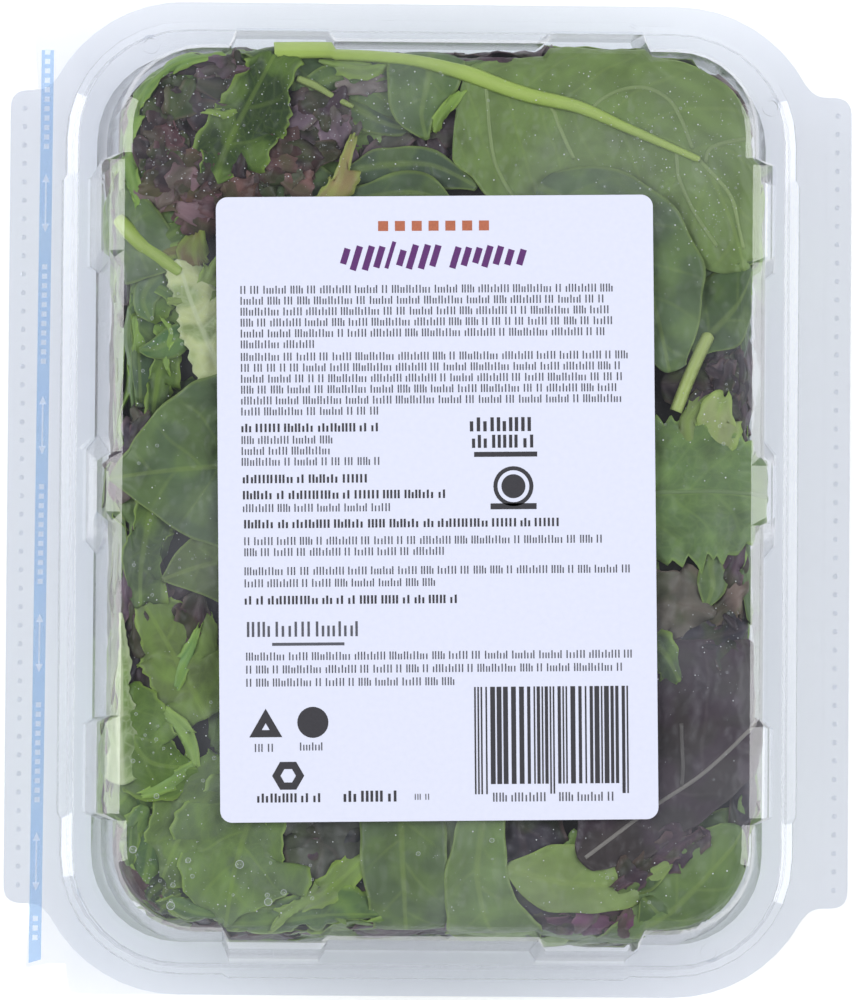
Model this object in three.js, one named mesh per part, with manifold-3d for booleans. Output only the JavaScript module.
// Clear clamshell pack of mixed salad greens, shut and sealed.
// It lies on its lid with the base of the tub, which carries the label, facing up.
// Units are millimetres, +Z is up, +X is the hinge side and -X the side with the seal strip.
// The origin is on the table, under the middle of the pack.
import * as THREE from 'three';
import { mergeVertices } from 'three/addons/utils/BufferGeometryUtils.js';
import Module from 'manifold-3d';

const wasm = await Module();
wasm.setup();

// ---------------------------------------------------------------- driving dimensions
const SHEET = 0.6;                       // wall of the thermoformed sheet
const GAP = 0.3;                         // space left between pieces that touch
const LABEL = { width: 88.9, length: 127, corner: 2.4, thick: 0.2, y: -4, turn: 0.9 };
const HEIGHT = 81;                       // table to the face of the label
const TUB_TOP = HEIGHT - LABEL.thick - GAP;
const FLANGE = { hx: 82.8, hy: 104.8, r: 30.8 };   // half width, half length, corner radius
const TUB_FLANGE_Z = 19.8;               // underside of the tub's flange
const LID_FLANGE_Z = TUB_FLANGE_Z - GAP - SHEET;   // underside of the lid's flange
// The tab along each side: `rise` and `flare` shape the curve where it leaves the round corner.
const TAB = { reach: 89, half: 85.8, corner: 3.7, rise: 2.7, flare: 4.6 };
// The square corner of the lid at the strip side, and the pull tab that stands beside it.
const NOTCH = { x: -75, corner: 2, shoulder: 98.4, slant: 0.9, width: 4.2 };
const PULL = { x: -84.4, top: 99.5, corner: 1, foot: 1.4, lean: 1.2 };
const STRIP = { x: -81.8, width: 2.6, top: 94.4, bottom: -98.4, thick: 0.2, skew: 0.5, cut: 0.8 };
const SCORE = { x: 83.4, width: 0.5, depth: 0.25, half: 79.4, dashFrom: 82.4, dashTo: 84.6 };
const LUG = { r: 2, wall: 0.6, centre: 21.2, angle: 21.5, top: 27.9, sink: 0.3, hollow: 2.5 };

// Bumps in the drafted wall of the tub, measured from the middle of each side.
const LONG_FLUTE = { near: 46.6, far: 67.9, flank: 1.4 };
const SHORT_FLUTE = { near: 21.4, far: 42.9, flank: 1.4 };
const RIB = { foot: 7.0, crest: 5.2, spreadFoot: 12.6, spreadCrest: 9.6 };
const ARC_STEPS = 8;
const CURVE_STEPS = 5;

// The tub from the middle of its base outwards and down to the flange. `corner`, `flute`
// and `rib` are how far those zones of the wall stand out from its plain face.
const WALL = { corner: -1.5, flute: 1.9, rib: 2.3 };
const TUB_PROFILE = [
  { hx: 63.9, hy: 88.9, r: 14.5, z: TUB_TOP, corner: -1.5, flute: 0, rib: 0, spread: 0 },
  { hx: 65.9, hy: 90.9, r: 16.2, z: TUB_TOP - 0.85, corner: -1.5, flute: 1.1, rib: 1.3, spread: 0 },
  { hx: 66.8, hy: 91.8, r: 17, z: TUB_TOP - 2.9, ...WALL, spread: 0 },
  { hx: 70, hy: 95, r: 19.5, z: 28, ...WALL, spread: 1 },
  { hx: 70.7, hy: 95.6, r: 20.2, z: 27.1, ...WALL, spread: 1 },
  { hx: 74.3, hy: 97.9, r: 22.6, z: 26.9, corner: 0, flute: 0, rib: 0, spread: 1 },
  { hx: 74.6, hy: 98.2, r: 22.8, z: 25.1, corner: 0, flute: 0, rib: 0, spread: 1 },
  { hx: 77.5, hy: 100.8, r: 24.8, z: 24.6, corner: -0.7, flute: 0, rib: 0, spread: 1 },
  { hx: 78.1, hy: 101.3, r: 25.4, z: TUB_FLANGE_Z, corner: -0.7, flute: 0, rib: 0, spread: 1 },
];
// The lid from the middle of its panel, on the table, outwards and up to the flange.
const LID_PROFILE = [
  { hx: 61.5, hy: 84.5, r: 12, z: 0 },
  { hx: 62.5, hy: 85.5, r: 12.6, z: 0.9 },
  { hx: 66, hy: 89, r: 15, z: 0.9 },
  { hx: 68.2, hy: 91.2, r: 16.6, z: 1.9 },
  { hx: 68.9, hy: 91.9, r: 17.2, z: 4 },
  { hx: 71.2, hy: 94.2, r: 19.5, z: 21.6 },
  { hx: 71.9, hy: 94.9, r: 20, z: 22.3 },
  { hx: 74.8, hy: 97.8, r: 23.2, z: 22.3 },
  { hx: 75.6, hy: 98.6, r: 24, z: LID_FLANGE_Z },
];
// What the salad may fill: inside the tub and the lid, clear of both.
const CAVITY_PROFILE = [
  { hx: 63.4, hy: 88.4, r: 13.9, z: TUB_TOP - SHEET - GAP, corner: -1.5, flute: 0, rib: 0, spread: 0 },
  { hx: 65, hy: 90, r: 15.4, z: TUB_TOP - 1.7, corner: -1.5, flute: 1, rib: 1.2, spread: 0 },
  { hx: 65.8, hy: 90.8, r: 16.1, z: TUB_TOP - 3.4, ...WALL, spread: 0 },
  { hx: 69, hy: 94, r: 18.6, z: 28, ...WALL, spread: 1 },
  { hx: 69.4, hy: 94.3, r: 18.8, z: 23.4, corner: -1.5, flute: 0, rib: 0, spread: 1 },
  { hx: 69.2, hy: 92.2, r: 18.6, z: 13, corner: -1.5, flute: 0, rib: 0, spread: 1 },
  { hx: 67.6, hy: 90.6, r: 16.9, z: 4.4, corner: -1.5, flute: 0, rib: 0, spread: 1 },
  { hx: 64.6, hy: 87.6, r: 14, z: 1.9, corner: -1.5, flute: 0, rib: 0, spread: 1 },
];

// ---------------------------------------------------------------- solids and meshes
function toManifold(geometry) {
  const bare = geometry.clone();
  for (const name of Object.keys(bare.attributes)) if (name !== 'position') bare.deleteAttribute(name);
  const merged = mergeVertices(bare, 1e-4);
  return new wasm.Manifold(new wasm.Mesh({
    numProp: 3,
    vertProperties: new Float32Array(merged.attributes.position.array),
    triVerts: new Uint32Array(merged.index.array),
  }));
}

function toGeometry(solid) {
  const { vertProperties, triVerts, numProp } = solid.getMesh();
  const positions = new Float32Array((vertProperties.length / numProp) * 3);
  for (let i = 0; i < positions.length / 3; i++) {
    for (let k = 0; k < 3; k++) positions[3 * i + k] = vertProperties[i * numProp + k];
  }
  const geometry = new THREE.BufferGeometry();
  geometry.setAttribute('position', new THREE.BufferAttribute(positions, 3));
  geometry.setIndex(new THREE.BufferAttribute(new Uint32Array(triVerts), 1));
  geometry.computeVertexNormals();
  return geometry;
}

function indexed(points, triangles) {
  const geometry = new THREE.BufferGeometry();
  geometry.setAttribute('position', new THREE.Float32BufferAttribute(points.flatMap((p) => p.toArray()), 3));
  geometry.setIndex(triangles.flat());
  return geometry;
}

// The largest connected body, so that a scrap cut off by a wall is dropped.
function largestBody(solid) {
  return solid.decompose().sort((a, b) => b.volume() - a.volume())[0];
}

// ---------------------------------------------------------------- outlines
// Half of the stations of one side, from its middle to its corner: [distance, how far out].
function sideStations(level, isLong) {
  const { flute, corner, rib, spread } = level;
  const bump = isLong ? LONG_FLUTE : SHORT_FLUTE;
  const stations = [
    [bump.near, 0],
    [bump.near + bump.flank, flute],
    [bump.far - bump.flank, flute],
    [bump.far, corner],
  ];
  if (!isLong) return stations;
  const crest = THREE.MathUtils.lerp(RIB.crest, RIB.spreadCrest, spread);
  const foot = THREE.MathUtils.lerp(RIB.foot, RIB.spreadFoot, spread);
  return [[crest, rib], [foot, 0], ...stations];
}

// One ring of the tub, anticlockwise seen from above, with the wall's bumps on its sides.
function tubOutline(level) {
  const cx = level.hx + level.corner - level.r;
  const cy = level.hy + level.corner - level.r;
  const points = [];
  for (let quarter = 0; quarter < 4; quarter++) {
    const isLong = quarter % 2 === 0;
    const half = isLong ? level.hx : level.hy;
    const stations = sideStations(level, isLong);
    const whole = [...stations.map(([s, out]) => [-s, out]).reverse(), ...stations];
    const turn = quarter * Math.PI / 2;
    for (const [s, out] of whole) {
      points.push(new THREE.Vector2(half + out, s).rotateAround(new THREE.Vector2(), turn));
    }
    const centre = new THREE.Vector2(isLong ? cx : cy, isLong ? cy : cx);
    for (let i = 0; i <= ARC_STEPS; i++) {
      const angle = (i / ARC_STEPS) * Math.PI / 2;
      const onArc = new THREE.Vector2(level.r * Math.cos(angle), level.r * Math.sin(angle)).add(centre);
      points.push(onArc.rotateAround(new THREE.Vector2(), turn));
    }
  }
  return points;
}

// A plain rounded rectangle, anticlockwise seen from above.
function plainOutline({ hx, hy, r }) {
  const points = [];
  for (let quarter = 0; quarter < 4; quarter++) {
    const cx = (quarter === 1 || quarter === 2 ? -1 : 1) * (hx - r);
    const cy = (quarter > 1 ? -1 : 1) * (hy - r);
    for (let i = 0; i <= ARC_STEPS; i++) {
      const angle = (quarter + i / ARC_STEPS) * Math.PI / 2;
      points.push(new THREE.Vector2(cx + r * Math.cos(angle), cy + r * Math.sin(angle)));
    }
  }
  return points;
}

// ---------------------------------------------------------------- lofts
// The same profile moved to its inner side by `distance`, each corner mitred.
function insetProfile(profile, distance) {
  const normals = profile.slice(1).map((level, i) => {
    const along = new THREE.Vector2(level.hx - profile[i].hx, level.z - profile[i].z).normalize();
    return new THREE.Vector2(-along.y, along.x);
  });
  return profile.map((level, i) => {
    const before = normals[Math.max(i - 1, 0)];
    const after = normals[Math.min(i, normals.length - 1)];
    const shift = before.clone().add(after).multiplyScalar(distance / (1 + before.dot(after)));
    return {
      ...level, hx: level.hx - shift.x, hy: level.hy - shift.x, r: level.r - shift.x, z: level.z - shift.y,
    };
  });
}

// Skins the rings in order and closes the first and the last with a flat cap.
function loft(rings) {
  const count = rings[0].length;
  const points = rings.flat();
  const triangles = [];
  for (let ring = 0; ring < rings.length - 1; ring++) {
    for (let j = 0; j < count; j++) {
      const next = (j + 1) % count;
      const [a, b] = [ring * count, (ring + 1) * count];
      triangles.push([a + j, b + j, b + next], [a + j, b + next, a + next]);
    }
  }
  const last = (rings.length - 1) * count;
  const first = points.push(new THREE.Vector3(0, 0, rings[0][0].z)) - 1;
  const end = points.push(new THREE.Vector3(0, 0, rings[rings.length - 1][0].z)) - 1;
  for (let j = 0; j < count; j++) {
    const next = (j + 1) % count;
    triangles.push([first, j, next], [end, last + next, last + j]);
  }
  return toManifold(indexed(points, triangles));
}

const ringAt = (outline, level) => outline(level).map((p) => new THREE.Vector3(p.x, p.y, level.z));

// A shell of sheet thickness whose profile is its upper, outer face.
function shell(profile, outline) {
  const inner = insetProfile(profile, SHEET);
  inner[inner.length - 1].z = profile[profile.length - 1].z;
  return loft([...profile, ...inner.reverse()].map((level) => ringAt(outline, level)));
}

// A closed outline as points, without the doubles where an arc meets a line.
function distinct(points) {
  return points.filter((p, i) => p.distanceTo(points[(i + 1) % points.length]) > 0.01);
}

// A plate with a hole in it. The outline runs clockwise and the hole the other way.
function flatPlate(outline, hole, z) {
  const shape = new THREE.Shape(distinct(outline));
  shape.holes.push(new THREE.Path(distinct(hole)));
  const geometry = new THREE.ExtrudeGeometry(shape, { depth: SHEET, bevelEnabled: false });
  return toManifold(geometry.translate(0, 0, z));
}

function upright(radius, low, high, x, y) {
  const geometry = new THREE.CylinderGeometry(radius, radius, high - low, 16).rotateX(Math.PI / 2);
  return toManifold(geometry.translate(x, y, (low + high) / 2));
}

// ---------------------------------------------------------------- flange outlines
// An outline through `corners` [x, y, cut], each rounded off over `cut` to either side of it.
function rounded(corners) {
  return corners.flatMap(([x, y, cut], i) => {
    const here = new THREE.Vector2(x, y);
    if (!cut) return [here];
    const towards = (k) => {
      const [otherX, otherY] = corners[(k + corners.length) % corners.length];
      return new THREE.Vector2(otherX, otherY).sub(here).setLength(cut).add(here);
    };
    return new THREE.QuadraticBezierCurve(towards(i - 1), here, towards(i + 1)).getPoints(CURVE_STEPS);
  });
}

// One side of a flange from its front half: the same again, mirrored, for the back half.
const bothHalves = (corners) => [...corners, ...corners.map(([x, y, cut]) => [x, -y, cut]).reverse()];

// The right side of both flanges, clockwise: the round corner, then the tab along the side.
function tabSide() {
  const { hx, hy, r } = FLANGE;
  const leaveY = TAB.half + TAB.rise;                 // where the corner arc turns into the tab
  const leave = Math.asin((leaveY - (hy - r)) / r);
  const arc = [];
  for (let i = 0; i <= ARC_STEPS; i++) {
    const angle = THREE.MathUtils.lerp(Math.PI / 2, leave, i / ARC_STEPS);
    arc.push([hx - r + r * Math.cos(angle), hy - r + r * Math.sin(angle), 0]);
  }
  const bendX = hx - r + r * Math.cos(leave) + TAB.flare / 2;
  return bothHalves([...arc, [bendX, TAB.half, TAB.flare / 2], [TAB.reach, TAB.half, TAB.corner]]);
}

function tubFlange() {
  return rounded([...tabSide(), ...tabSide().map(([x, y, cut]) => [-x, -y, cut])]);
}

// The lid's flange is square at the strip side, and ends there in two pull tabs.
function lidFlange() {
  const stripSide = bothHalves([
    [NOTCH.x, -FLANGE.hy, NOTCH.corner],
    [NOTCH.x - NOTCH.slant, -NOTCH.shoulder, 0],
    [NOTCH.x - NOTCH.width, -NOTCH.shoulder, 0],
    [PULL.x, -PULL.top, PULL.corner],
    [PULL.x + PULL.lean, -TAB.half, PULL.foot],
    [-TAB.reach, -TAB.half, TAB.corner],
  ]);
  return rounded([...tabSide(), ...stripSide]);
}

// ---------------------------------------------------------------- tub
function makeTub() {
  const rim = TUB_PROFILE[TUB_PROFILE.length - 1];
  const middle = { ...rim, hx: rim.hx - SHEET / 2, hy: rim.hy - SHEET / 2, r: rim.r - SHEET / 2 };
  let tub = shell(TUB_PROFILE, tubOutline);
  tub = tub.add(flatPlate(tubFlange(), tubOutline(middle), TUB_FLANGE_Z));

  // One locking lug in each corner of the inner ring, hollow from below.
  const ring = TUB_PROFILE[5];
  for (let quarter = 0; quarter < 4; quarter++) {
    const angle = THREE.MathUtils.degToRad(90 * quarter + LUG.angle);
    const x = (quarter === 1 || quarter === 2 ? -1 : 1) * (ring.hx - ring.r) + LUG.centre * Math.cos(angle);
    const y = (quarter > 1 ? -1 : 1) * (ring.hy - ring.r) + LUG.centre * Math.sin(angle);
    tub = tub.add(upright(LUG.r, ring.z - LUG.sink, LUG.top, x, y));
    tub = tub.subtract(upright(LUG.r - LUG.wall, ring.z - LUG.hollow, LUG.top - LUG.wall, x, y));
  }

  // The score along the hinge tab: a long line and a dash at each end.
  const { half, dashFrom, dashTo } = SCORE;
  for (const [from, to] of [[-half, half], [dashFrom, dashTo], [-dashTo, -dashFrom]]) {
    const cut = new THREE.BoxGeometry(SCORE.width, to - from, 2 * SCORE.depth);
    tub = tub.subtract(toManifold(cut.translate(SCORE.x, (from + to) / 2, TUB_FLANGE_Z + SHEET)));
  }
  return largestBody(tub);
}

// ---------------------------------------------------------------- lid
function makeLid() {
  // The lid is lofted upside down, so that its outer face is the upper one, and turned over.
  const flipped = LID_PROFILE.map((level) => ({ ...level, z: -level.z }));
  const dome = shell(flipped, plainOutline).rotate([180, 0, 0]);
  const rim = LID_PROFILE[LID_PROFILE.length - 1];
  const middle = { hx: rim.hx + SHEET / 2, hy: rim.hy + SHEET / 2, r: rim.r + SHEET / 2 };
  return dome.add(flatPlate(lidFlange(), plainOutline(middle), LID_FLANGE_Z));
}

// ---------------------------------------------------------------- salad
// The heap's skin: a rounded box that the leaves lie on. Under it the core, over it the leaves.
const HEAP = { hx: 66, hy: 91, r: 18, bend: 5, draft: 0.058 };
const HEAP_TOP = TUB_TOP - SHEET - GAP;
const HEAP_BOTTOM = 1.9;
const LEAF = 1;                          // thickness of a leaf's solid
const LAYER = { first: 0.8, step: 0.9 }; // depth of the outermost leaves, and from layer to layer
const ROOT = 3.4;                        // how far the stem end of a leaf dips into the heap
const WAVE = { along: 5, across: 2.2 };  // phase of the frill from end to end and from side to side
const LEAF_GRID = { row: 9.5, mostRows: 4, wide: 35 };
// The core's rings: shares of the heap's plane, then distances past its edge and down the wall.
const CORE = { depth: 4.4, bump: 0.8, stations: 24, flats: [0.3, 0.6, 0.9], walls: [2, 12, 26] };

// Leaves that show through the base, from stem end to tip, as they lie on the plane of the base.
// `layer` counts inwards from the sheet, and `bow` bends the midrib sideways.
const BASE_LEAVES = [
  { kind: 'broad', from: [4, 84], to: [66, 50], width: 44, layer: 1.3, bow: 5 },
  { kind: 'stem', from: [-34, 88], to: [6, 84], width: 3.6, layer: 0.4, bow: 2 },
  { kind: 'broad', from: [23, 67], to: [51, 26], width: 36, layer: 0 },
  { kind: 'broad', from: [-2, 90], to: [-3, 71], width: 15.5, layer: 1 },
  { kind: 'frilled', from: [-49, 66], to: [-34, 87], width: 20, layer: 0 },
  { kind: 'broad', from: [-19, 78], to: [3, 69], width: 14, layer: 2 },
  { kind: 'stem', from: [-29, 83], to: [-18, 77.6], width: 2, layer: 1.4 },
  { kind: 'frilled', from: [-45, 76], to: [-43, 91], width: 13, layer: 2 },
  { kind: 'frilled', from: [-32, 71], to: [-17, 79], width: 15, layer: 2.4 },
  { kind: 'frilled', from: [-43, 62], to: [-19, 68], width: 14, layer: 1 },
  { kind: 'frilled', from: [-56, 60], to: [-53, 82], width: 17, layer: 2 },
  { kind: 'frilled', from: [-37, 58], to: [-61, 61], width: 15, layer: 0.6 },
  { kind: 'broad', from: [-29, 52], to: [2, 68], width: 22, layer: 1.2 },
  { kind: 'strap', from: [-66, 51], to: [-49, 91], width: 9, layer: 1, bow: 7 },
  { kind: 'stem', from: [-67, 55], to: [-53, 43.5], width: 2.8, layer: 0 },
  { kind: 'frilled', from: [-45, 22], to: [-55, 47], width: 13, layer: 0.6 },
  { kind: 'broad', from: [-52, 39], to: [-63, 39], width: 10, layer: 1.8 },
  { kind: 'strap', from: [-54, 13], to: [-58, 32], width: 10, layer: 2 },
  { kind: 'broad', from: [-22, 7], to: [-67, 2], width: 34, layer: 0 },
  { kind: 'broad', from: [-54, -4], to: [-64, -24], width: 13, layer: 0.9 },
  { kind: 'broad', from: [-28, -14], to: [-56, -19], width: 18, layer: 0.3 },
  { kind: 'frilled', from: [-43, -42], to: [-58, -24], width: 20, layer: 1 },
  { kind: 'strap', from: [-65, -49], to: [-66, -26], width: 6.5, layer: 0.4 },
  { kind: 'frilled', from: [-68, -62], to: [-48, -42], width: 26, layer: 0 },
  { kind: 'frilled', from: [-21, -62], to: [-62, -76], width: 30, layer: 0.8 },
  { kind: 'frilled', from: [-57, -78], to: [-68, -60], width: 12, layer: 1.8 },
  { kind: 'frilled', from: [-47, -75], to: [-60, -90], width: 16, layer: 2 },
  { kind: 'frilled', from: [-27, -68], to: [-46, -92], width: 24, layer: 0.3 },
  { kind: 'frilled', from: [-22, -62], to: [-24, -84], width: 18, layer: 2 },
  { kind: 'strap', from: [-34, -92], to: [-12, -72], width: 9, layer: 0.6, bow: -3 },
  { kind: 'broad', from: [-7, -60], to: [-7, -95], width: 20, layer: 0.9 },
  { kind: 'broad', from: [11, -62], to: [13, -95], width: 19, layer: 0.2 },
  { kind: 'broad', from: [46, -73], to: [14, -79], width: 15, layer: 0.7 },
  { kind: 'broad', from: [29, -76], to: [67, -29], width: 33, layer: 0.2 },
  { kind: 'frilled', from: [44, -80], to: [55, -66], width: 9, layer: 1.2 },
  { kind: 'broad', from: [40, -92], to: [66, -68], width: 25, layer: 1 },
  { kind: 'frilled', from: [19, -91], to: [42, -89], width: 11, layer: 1.8 },
  { kind: 'frilled', from: [41, -2], to: [70, 1], width: 28, layer: 0 },
  { kind: 'frilled', from: [53, 8], to: [60, 21], width: 9, layer: 0.3 },
  { kind: 'stem', from: [47, 14], to: [55, 32], width: 2.5, layer: 0 },
  { kind: 'broad', from: [54, 28], to: [68, 49], width: 15, layer: 1.6 },
  { kind: 'frilled', from: [45, 18], to: [68, 21], width: 13, layer: 2 },
  { kind: 'frilled', from: [56, -23], to: [68, -10], width: 11, layer: 1.7 },
  { kind: 'frilled', from: [42, -32], to: [55, -15], width: 13, layer: 1 },
  { kind: 'broad', from: [53, -24], to: [60, -13], width: 8, layer: 0.6 },
  { kind: 'frilled', from: [50, -35], to: [67, -25], width: 11, layer: 1.2 },
];
// Leaves pressed against the walls and the lid, laid out by rule.
const WALL_LEAVES = { count: 16, length: 30, width: 19, down: 26 };
const LID_LEAVES = { columns: 3, rows: 4, length: 40, width: 27, margin: 20 };

// Half width along a leaf, from 0 at the stem to 1 at the tip, as a share of its widest.
const LEAF_SHAPES = {
  broad: (u) => 0.1 + 0.9 * Math.sin(Math.PI * u ** 0.8) ** 0.75,
  frilled: (u) => 0.16 + 0.84 * Math.sin(Math.PI * u ** 1.4) ** 0.6,
  strap: (u) => 0.5 + 0.5 * Math.sin(Math.PI * u),
  stem: () => 1,
};
const FRILL = { broad: 0.3, frilled: 1, strap: 0.4, stem: 0 };

// A fixed sequence of numbers between 0 and 1.
let seed = 20;
function draw() {
  seed = (seed * 16807) % 2147483647;
  return seed / 2147483647;
}

// A point of the plane of the base (or of the lid), laid on the heap's skin: past the edge of
// the plane it bends round and runs on down the wall. `depth` is how far it lies inside.
function onHeap(x, y, depth, fromLid) {
  const beyond = (value, half) => Math.max(Math.abs(value) - half + HEAP.r, 0);
  const past = new THREE.Vector2(beyond(x, HEAP.hx), beyond(y, HEAP.hy));
  const run = past.length() - HEAP.r + HEAP.bend;    // distance beyond the start of the bend
  const place = (px, py, down) => new THREE.Vector3(px, py, fromLid ? HEAP_BOTTOM + down : HEAP_TOP - down);
  if (run <= 0) return place(x, y, depth);
  const out = past.normalize();
  out.set(out.x * Math.sign(x), out.y * Math.sign(y));
  const angle = Math.min(run / HEAP.bend, Math.PI / 2);
  const straight = Math.max(run - HEAP.bend * Math.PI / 2, 0);
  const radius = HEAP.bend - depth;
  const move = -run + radius * Math.sin(angle) + straight * HEAP.draft;
  return place(x + out.x * move, y + out.y * move, HEAP.bend - radius * Math.cos(angle) + straight);
}

function makeLeaf({ kind, from, to, width, layer, bow = 0, fromLid = false }) {
  const start = new THREE.Vector2(...from);
  const along = new THREE.Vector2(...to).sub(start);
  const side = new THREE.Vector2(-along.y, along.x).normalize();
  const rows = THREE.MathUtils.clamp(Math.round(along.length() / LEAF_GRID.row), 2, LEAF_GRID.mostRows);
  const columns = width > LEAF_GRID.wide ? 4 : 2;
  const phase = from[0] * 0.7 + to[1] * 0.4;
  const grid = [];
  for (let i = 0; i <= rows; i++) {
    const u = i / rows;
    const half = (width / 2) * LEAF_SHAPES[kind](u);
    const line = [];
    for (let j = 0; j <= columns; j++) {
      const v = (2 * j) / columns - 1;
      const across = v * half + bow * 4 * u * (1 - u);
      const wave = FRILL[kind] * (1 + Math.sin(phase + WAVE.along * u + WAVE.across * v)) * v * v;
      const rooted = kind === 'stem' ? 0 : ROOT * (1 - u) ** 3;
      const depth = LAYER.first + LAYER.step * layer + wave + rooted;
      const flat = start.clone().addScaledVector(along, u).addScaledVector(side, across);
      line.push(onHeap(flat.x, flat.y, depth, fromLid));
    }
    grid.push(line);
  }
  return thicken(grid);
}

// Gives a grid of points a thickness of one leaf, both faces split into triangles alike.
function thicken(grid) {
  const rows = grid.length - 1;
  const columns = grid[0].length - 1;
  const upper = [];
  const lower = [];
  for (let i = 0; i <= rows; i++) {
    for (let j = 0; j <= columns; j++) {
      const along = grid[Math.min(i + 1, rows)][j].clone().sub(grid[Math.max(i - 1, 0)][j]);
      const across = grid[i][Math.min(j + 1, columns)].clone().sub(grid[i][Math.max(j - 1, 0)]);
      const normal = along.cross(across).normalize().multiplyScalar(LEAF / 2);
      upper.push(grid[i][j].clone().add(normal));
      lower.push(grid[i][j].clone().sub(normal));
    }
  }
  const at = (i, j) => i * (columns + 1) + j;
  const under = upper.length;
  const triangles = [];
  for (let i = 0; i < rows; i++) {
    for (let j = 0; j < columns; j++) {
      const [a, b, c, d] = [at(i, j), at(i + 1, j), at(i + 1, j + 1), at(i, j + 1)];
      triangles.push([a, b, c], [a, c, d]);
      triangles.push([under + a, under + c, under + b], [under + a, under + d, under + c]);
    }
  }
  const rim = [];
  for (let i = 0; i < rows; i++) rim.push(at(i, 0));
  for (let j = 0; j < columns; j++) rim.push(at(rows, j));
  for (let i = rows; i > 0; i--) rim.push(at(i, columns));
  for (let j = columns; j > 0; j--) rim.push(at(0, j));
  rim.forEach((a, k) => {
    const b = rim[(k + 1) % rim.length];
    triangles.push([b, a, under + a], [b, under + a, under + b]);
  });
  return toManifold(indexed([...upper, ...lower], triangles));
}

// The bumpy inside of the heap, which the leaves are rooted in.
function makeCore() {
  const ring = (scale, past, fromLid) => {
    const points = [];
    for (let k = 0; k < CORE.stations; k++) {
      const angle = (k / CORE.stations) * 2 * Math.PI;
      const squared = (value) => Math.sign(value) * Math.abs(value) ** 0.5;
      const x = squared(Math.cos(angle)) * (scale * HEAP.hx + past);
      const y = squared(Math.sin(angle)) * (scale * HEAP.hy + past);
      const depth = CORE.depth + CORE.bump * Math.sin(0.21 * x + 1.3) * Math.cos(0.17 * y + past);
      points.push(onHeap(x, y, depth, fromLid));
    }
    return points;
  };
  const rings = (walls, fromLid) => [
    ...CORE.flats.map((scale) => ring(scale, 0, fromLid)),
    ...walls.map((past) => ring(1, past, fromLid)),
  ];
  const upper = rings(CORE.walls, false);
  const lower = rings(CORE.walls.slice(0, 2), true);
  for (const p of upper[0]) p.z = HEAP_TOP - CORE.depth;          // the two caps are flat
  for (const p of lower[0]) p.z = HEAP_BOTTOM + CORE.depth;
  return loft([...upper, ...lower.reverse()]);
}

function wallLeaf(index) {
  const angle = ((index + 0.3 * draw()) / WALL_LEAVES.count) * 2 * Math.PI;
  const down = WALL_LEAVES.down * (0.6 + 0.5 * draw());
  const middle = new THREE.Vector2(Math.cos(angle), Math.sin(angle));
  const share = Math.max(Math.abs(middle.x) / (HEAP.hx + down), Math.abs(middle.y) / (HEAP.hy + down));
  middle.divideScalar(share);                        // out to that far past the edge of the plane
  const lean = angle + Math.PI / 2 + 1.2 * (draw() - 0.5);
  const half = new THREE.Vector2(Math.cos(lean), Math.sin(lean));
  half.multiplyScalar(WALL_LEAVES.length * (0.4 + 0.2 * draw()));
  return {
    kind: draw() < 0.5 ? 'broad' : 'frilled',
    from: middle.clone().sub(half).toArray(),
    to: middle.clone().add(half).toArray(),
    width: WALL_LEAVES.width * (0.8 + 0.4 * draw()),
    layer: 0.6 + 1.2 * draw(),
  };
}

function lidLeaf(column, row) {
  const { columns, rows, length, width, margin } = LID_LEAVES;
  // A place in the grid of leaves, between -half and +half, moved a little at random.
  const spread = (index, count, half) => ((index + 0.3 * (draw() - 0.5)) / (count - 1) * 2 - 1) * half;
  const x = spread(column, columns, HEAP.hx - margin);
  const y = spread(row, rows, HEAP.hy - margin);
  const angle = 2 * Math.PI * draw();
  const half = (length / 2) * (0.8 + 0.4 * draw());
  return {
    kind: draw() < 0.5 ? 'broad' : 'frilled',
    from: [x - half * Math.cos(angle), y - half * Math.sin(angle)],
    to: [x + half * Math.cos(angle), y + half * Math.sin(angle)],
    width: width * (0.8 + 0.4 * draw()),
    layer: 0.3 + 1.8 * draw(),
    fromLid: true,
  };
}

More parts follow.
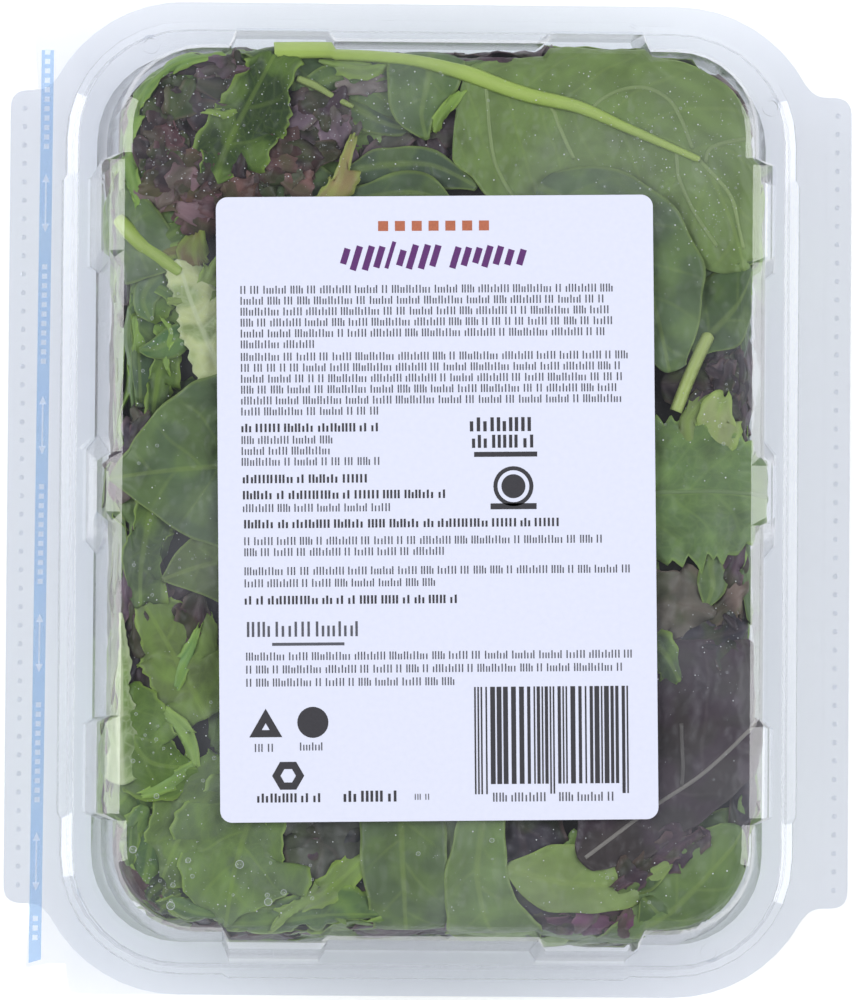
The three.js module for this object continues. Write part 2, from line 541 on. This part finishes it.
function makeSalad() {
  const leaves = [...BASE_LEAVES];
  for (let i = 0; i < WALL_LEAVES.count; i++) leaves.push(wallLeaf(i));
  for (let column = 0; column < LID_LEAVES.columns; column++) {
    for (let row = 0; row < LID_LEAVES.rows; row++) leaves.push(lidLeaf(column, row));
  }
  const heap = wasm.Manifold.union([makeCore(), ...leaves.map(makeLeaf)]);
  const cavity = loft(CAVITY_PROFILE.map((level) => ringAt(tubOutline, level)));
  return largestBody(heap.intersect(cavity));
}

// ---------------------------------------------------------------- label and seal strip
function makeLabel() {
  const outline = plainOutline({ hx: LABEL.width / 2, hy: LABEL.length / 2, r: LABEL.corner });
  const geometry = new THREE.ExtrudeGeometry(new THREE.Shape(outline), { depth: LABEL.thick, bevelEnabled: false });
  geometry.rotateZ(THREE.MathUtils.degToRad(LABEL.turn));
  return geometry.translate(0, LABEL.y, HEIGHT - LABEL.thick);
}

function makeStrip() {
  const { x, width, top, bottom, skew, cut } = STRIP;
  const outline = [
    [x - skew - width / 2, bottom],
    [x - skew + width / 2, bottom + cut],
    [x + skew + width / 2, top],
    [x + skew - width / 2, top],
  ];
  const shape = new THREE.Shape(outline.map(([px, py]) => new THREE.Vector2(px, py)));
  const geometry = new THREE.ExtrudeGeometry(shape, { depth: STRIP.thick, bevelEnabled: false });
  return geometry.translate(0, 0, LID_FLANGE_Z - GAP - STRIP.thick);
}

// ---------------------------------------------------------------- the pack
const model = new THREE.Group();

function addMesh(name, geometry, colour, roughness, opacity = 1) {
  const material = new THREE.MeshStandardMaterial({ color: colour, roughness, metalness: 0 });
  material.opacity = opacity;
  material.transparent = opacity < 1;
  const mesh = new THREE.Mesh(geometry, material);
  mesh.name = name;
  model.add(mesh);
}

addMesh('tub', toGeometry(makeTub()), 0xe9edf2, 0.1, 0.3);
addMesh('lid', toGeometry(makeLid()), 0xe9edf2, 0.1, 0.3);
addMesh('salad', toGeometry(makeSalad()), 0x5b8038, 0.6);
addMesh('base_label', makeLabel(), 0xf3f5fb, 0.5);
addMesh('seal_strip', makeStrip(), 0xa9d3ee, 0.3, 0.7);

export default model;
